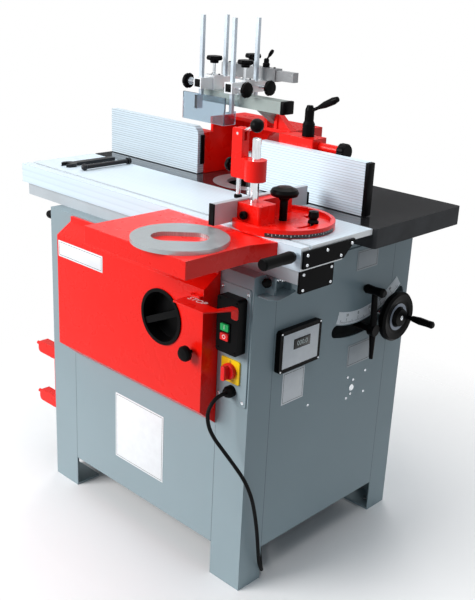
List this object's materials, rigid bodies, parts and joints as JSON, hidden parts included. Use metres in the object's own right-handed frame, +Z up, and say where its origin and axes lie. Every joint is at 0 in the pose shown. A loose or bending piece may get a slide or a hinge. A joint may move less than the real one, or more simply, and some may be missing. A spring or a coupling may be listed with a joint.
{
  "type": "spindle moulder",
  "caption": "Floor-standing spindle moulder with tilting spindle, cast table, sliding table with mitre gauge, split fence, guard and handwheel lift.",
  "frame": {"origin": "middle of the four floor anchor holes, on the floor", "axes": "+Z up, -Y towards the operator, +X towards the handwheel side"},
  "size_m": [1.028, 0.8545, 1.292],
  "materials": {
    "grey_paint": "semi-gloss paint",
    "red_paint": "semi-gloss paint",
    "cast_iron": "ground top, oiled",
    "aluminium": "satin anodised",
    "steel": "turned",
    "chrome": "bright",
    "black_plastic": "matt",
    "black_metal": "black oxide",
    "cord_rubber": "matt",
    "clear_plastic": "clear sheet",
    "red_plastic": "gloss",
    "green_plastic": "gloss",
    "motor_paint": "matt paint"
  },
  "bodies": {
    "cabinet": {"cabinet_frame": "grey_paint", "cabinet_panels": "grey_paint", "main_table": "cast_iron", "table_insert_ring": "cast_iron", "guide_rail": "aluminium", "rail_end_plate": "black_metal", "side_bracket": "red_paint", "switch_plate": "grey_paint", "switch_box": "black_plastic", "readout": "black_plastic", "power_cord": "cord_rubber", "cord_coil": "cord_rubber", "mains_plug": "black_plastic"},
    "sliding_table": {"sliding_table": "aluminium", "table_end_plates": "black_plastic", "outrigger_tray": "red_paint", "spare_ring": "aluminium", "loose_tools": "black_metal"},
    "mitre_gauge": {"mitre_base": "red_paint", "mitre_fence": "aluminium", "clamp_column": "chrome"},
    "visor": {"visor": "clear_plastic", "visor_rods": "chrome"},
    "quill": {"quill": "steel", "motor": "motor_paint"},
    "pivot_knob": {"pivot_knob": "black_plastic"},
    "mitre_lock_knob": {"mitre_lock_knob": "black_plastic"},
    "clamp_carriage": {"clamp_carriage": "red_paint"},
    "clamp_lever": {"clamp_lever": "black_plastic"},
    "press_rod": {"press_rod": "steel"},
    "carriage_knob": {"carriage_knob": "black_plastic"},
    "table_lock": {"table_lock": "chrome"},
    "fence_hood": {"fence_hood": "red_paint"},
    "outfeed_fence": {"outfeed_fence": "aluminium"},
    "infeed_fence": {"infeed_fence": "aluminium"},
    "fence_clamp_lever": {"fence_clamp_lever": "black_plastic"},
    "fence_adjuster": {"fence_adjuster": "red_paint"},
    "guard_beam": {"guard_beam": "red_paint"},
    "pressure_frame": {"pressure_frame": "red_paint"},
    "rear_rods": {"rear_rods": "chrome"},
    "side_knob_left": {"side_knob_left": "black_plastic"},
    "side_knob_right": {"side_knob_right": "black_plastic"},
    "side_knob_rear": {"side_knob_rear": "black_plastic"},
    "star_knob_left": {"star_knob_left": "black_plastic"},
    "star_knob_right": {"star_knob_right": "black_plastic"},
    "star_knob_rear": {"star_knob_rear": "black_plastic"},
    "beam_lever": {"beam_lever": "black_plastic"},
    "tilt_cradle": {"tilt_cradle": "cast_iron"},
    "spindle": {"spindle": "steel"},
    "motor_pulley": {"motor_pulley": "steel"},
    "lift_screw": {"lift_screw": "steel"},
    "handwheel": {"handwheel": "black_plastic"},
    "tilt_lever": {"tilt_lever": "black_metal"},
    "front_cover": {"front_cover": "red_paint"},
    "cover_grip": {"cover_grip": "black_plastic"},
    "cover_knob": {"cover_knob": "black_plastic"},
    "stop_flap": {"stop_flap": "red_paint"},
    "start_button": {"start_button": "green_plastic"},
    "stop_button": {"stop_button": "red_plastic"},
    "isolator_knob": {"isolator_knob": "red_plastic"}
  },
  "joints": [
    {"name": "table_slide", "type": "slide", "parent": "cabinet", "child": "sliding_table", "axis": [1, 0, 0], "range_m": [-0.32, 0.32]},
    {"name": "mitre_swing", "type": "hinge", "parent": "sliding_table", "child": "mitre_gauge", "pos_m": [0.322, -0.166, 0.88], "axis": [0, 0, 1], "range_deg": [-45, 45]},
    {"name": "pivot_knob_turn", "type": "hinge", "parent": "sliding_table", "child": "pivot_knob", "pos_m": [0.322, -0.166, 0.95], "axis": [0, 0, 1], "continuous": true},
    {"name": "mitre_lock_turn", "type": "hinge", "parent": "sliding_table", "child": "mitre_lock_knob", "pos_m": [0.37882, -0.13049, 0.9], "axis": [0, 0, 1], "continuous": true},
    {"name": "carriage_slide", "type": "slide", "parent": "mitre_gauge", "child": "clamp_carriage", "axis": [0, 0, 1], "range_m": [-0.008, 0.04]},
    {"name": "clamp_lever_turn", "type": "hinge", "parent": "clamp_carriage", "child": "clamp_lever", "pos_m": [0.236, -0.222, 1.074], "axis": [0, 1, 0], "range_deg": [-70, 0]},
    {"name": "press_rod_slide", "type": "slide", "parent": "clamp_carriage", "child": "press_rod", "axis": [0, 0, 1], "range_m": [-0.004, 0]},
    {"name": "carriage_knob_turn", "type": "hinge", "parent": "clamp_carriage", "child": "carriage_knob", "pos_m": [0.22, -0.222, 1.002], "axis": [1, 0, 0], "continuous": true},
    {"name": "table_lock_pull", "type": "slide", "parent": "cabinet", "child": "table_lock", "axis": [0, 1, 0], "range_m": [-0.01, 0], "stiffness_N_per_m": 400, "springref_m": 0.02},
    {"name": "fence_slide", "type": "slide", "parent": "cabinet", "child": "fence_hood", "axis": [0, 1, 0], "range_m": [-0.01, 0.04]},
    {"name": "infeed_slide", "type": "slide", "parent": "fence_hood", "child": "infeed_fence", "axis": [1, 0, 0], "range_m": [-0.025, 0.06]},
    {"name": "outfeed_slide", "type": "slide", "parent": "fence_hood", "child": "outfeed_fence", "axis": [1, 0, 0], "range_m": [-0.04, 0.05]},
    {"name": "fence_clamp_turn", "type": "hinge", "parent": "fence_hood", "child": "fence_clamp_lever", "pos_m": [0.172, 0.084, 1.04], "axis": [0, 0, 1], "range_deg": [-60, 60]},
    {"name": "fence_adjuster_turn", "type": "hinge", "parent": "fence_hood", "child": "fence_adjuster", "pos_m": [0.24, 0.084, 1.008], "axis": [1, 0, 0], "continuous": true},
    {"name": "guard_hinge", "type": "hinge", "parent": "fence_hood", "child": "guard_beam", "pos_m": [0.046, 0.1, 1.052], "axis": [1, 0, 0], "range_deg": [-45, 0]},
    {"name": "star_left_turn", "type": "hinge", "parent": "guard_beam", "child": "star_knob_left", "pos_m": [-0.136, 0.059, 1.18], "axis": [0, 0, 1], "continuous": true},
    {"name": "star_right_turn", "type": "hinge", "parent": "guard_beam", "child": "star_knob_right", "pos_m": [-0.025, 0.059, 1.18], "axis": [0, 0, 1], "continuous": true},
    {"name": "pressure_slide", "type": "slide", "parent": "guard_beam", "child": "pressure_frame", "axis": [0, 1, 0], "range_m": [-0.015, 0.018]},
    {"name": "visor_slide", "type": "slide", "parent": "pressure_frame", "child": "visor", "axis": [0, 0, 1], "range_m": [-0.08, 0.01]},
    {"name": "rear_rods_slide", "type": "slide", "parent": "pressure_frame", "child": "rear_rods", "axis": [0, 0, 1], "range_m": [-0.06, 0.01]},
    {"name": "side_left_turn", "type": "hinge", "parent": "pressure_frame", "child": "side_knob_left", "pos_m": [-0.17, 0.015, 1.1248], "axis": [1, 0, 0], "continuous": true},
    {"name": "side_right_turn", "type": "hinge", "parent": "pressure_frame", "child": "side_knob_right", "pos_m": [0.01, 0.015, 1.1248], "axis": [1, 0, 0], "continuous": true},
    {"name": "side_rear_turn", "type": "hinge", "parent": "pressure_frame", "child": "side_knob_rear", "pos_m": [0.01, 0.1, 1.1248], "axis": [1, 0, 0], "continuous": true},
    {"name": "star_rear_turn", "type": "hinge", "parent": "pressure_frame", "child": "star_knob_rear", "pos_m": [-0.068, 0.132, 1.19], "axis": [0, 0, 1], "continuous": true},
    {"name": "beam_lever_turn", "type": "hinge", "parent": "pressure_frame", "child": "beam_lever", "pos_m": [-0.021, 0.132, 1.18], "axis": [0, 0, 1], "range_deg": [-60, 60]},
    {"name": "tilt", "type": "hinge", "parent": "cabinet", "child": "tilt_cradle", "pos_m": [-0.01, 0.088, 0.88], "axis": [1, 0, 0], "range_deg": [-20, 15]},
    {"name": "quill_slide", "type": "slide", "parent": "tilt_cradle", "child": "quill", "axis": [0, 0, 1], "range_m": [-0.04, 0.04]},
    {"name": "spindle_spin", "type": "hinge", "parent": "quill", "child": "spindle", "pos_m": [-0.01, 0.088, 0.8], "axis": [0, 0, 1], "continuous": true},
    {"name": "motor_spin", "type": "hinge", "parent": "quill", "child": "motor_pulley", "pos_m": [-0.01, -0.057, 0.56], "axis": [0, 0, 1], "continuous": true},
    {"name": "lift_screw_turn", "type": "hinge", "parent": "tilt_cradle", "child": "lift_screw", "pos_m": [0.062, 0.19334, 0.7], "axis": [0, 0, 1], "range_deg": [-730, 730]},
    {"name": "handwheel_turn", "type": "hinge", "parent": "tilt_cradle", "child": "handwheel", "pos_m": [0.412, 0.19334, 0.60124], "axis": [1, 0, 0], "range_deg": [-730, 730]},
    {"name": "tilt_lever_turn", "type": "hinge", "parent": "tilt_cradle", "child": "tilt_lever", "pos_m": [0.4, 0.10983, 0.5828], "axis": [1, 0, 0], "range_deg": [0, 35]},
    {"name": "cover_hinge", "type": "hinge", "parent": "cabinet", "child": "front_cover", "pos_m": [-0.274, -0.3035, 0.6], "axis": [0, 0, 1], "range_deg": [-90, 0]},
    {"name": "cover_grip_turn", "type": "hinge", "parent": "front_cover", "child": "cover_grip", "pos_m": [0.132, -0.3485, 0.65], "axis": [0, 1, 0], "range_deg": [0, 90]},
    {"name": "cover_knob_turn", "type": "hinge", "parent": "front_cover", "child": "cover_knob", "pos_m": [0.235, -0.36, 0.598], "axis": [0, 1, 0], "continuous": true},
    {"name": "stop_flap_press", "type": "hinge", "parent": "front_cover", "child": "stop_flap", "pos_m": [0.25, -0.3545, 0.733], "axis": [1, 0, 0], "range_deg": [0, 8], "stiffness_Nm_per_rad": 6, "springref_deg": -2.86},
    {"name": "start_press", "type": "slide", "parent": "cabinet", "child": "start_button", "axis": [0, 1, 0], "range_m": [0, 0.004], "stiffness_N_per_m": 400, "springref_m": -0.002},
    {"name": "stop_press", "type": "slide", "parent": "cabinet", "child": "stop_button", "axis": [0, 1, 0], "range_m": [0, 0.004], "stiffness_N_per_m": 400, "springref_m": -0.002},
    {"name": "isolator_turn", "type": "hinge", "parent": "cabinet", "child": "isolator_knob", "pos_m": [0.314, -0.31, 0.565], "axis": [0, 1, 0], "range_deg": [0, 90]}
  ],
  "couplings": [
    {"joint": "clamp_lever_turn", "follows": "press_rod_slide", "rad_per_m": 305},
    {"joint": "motor_spin", "follows": "spindle_spin", "ratio": 0.73913},
    {"joint": "handwheel_turn", "follows": "quill_slide", "rad_per_m": -314.16},
    {"joint": "lift_screw_turn", "follows": "quill_slide", "rad_per_m": -314.16}
  ]
}
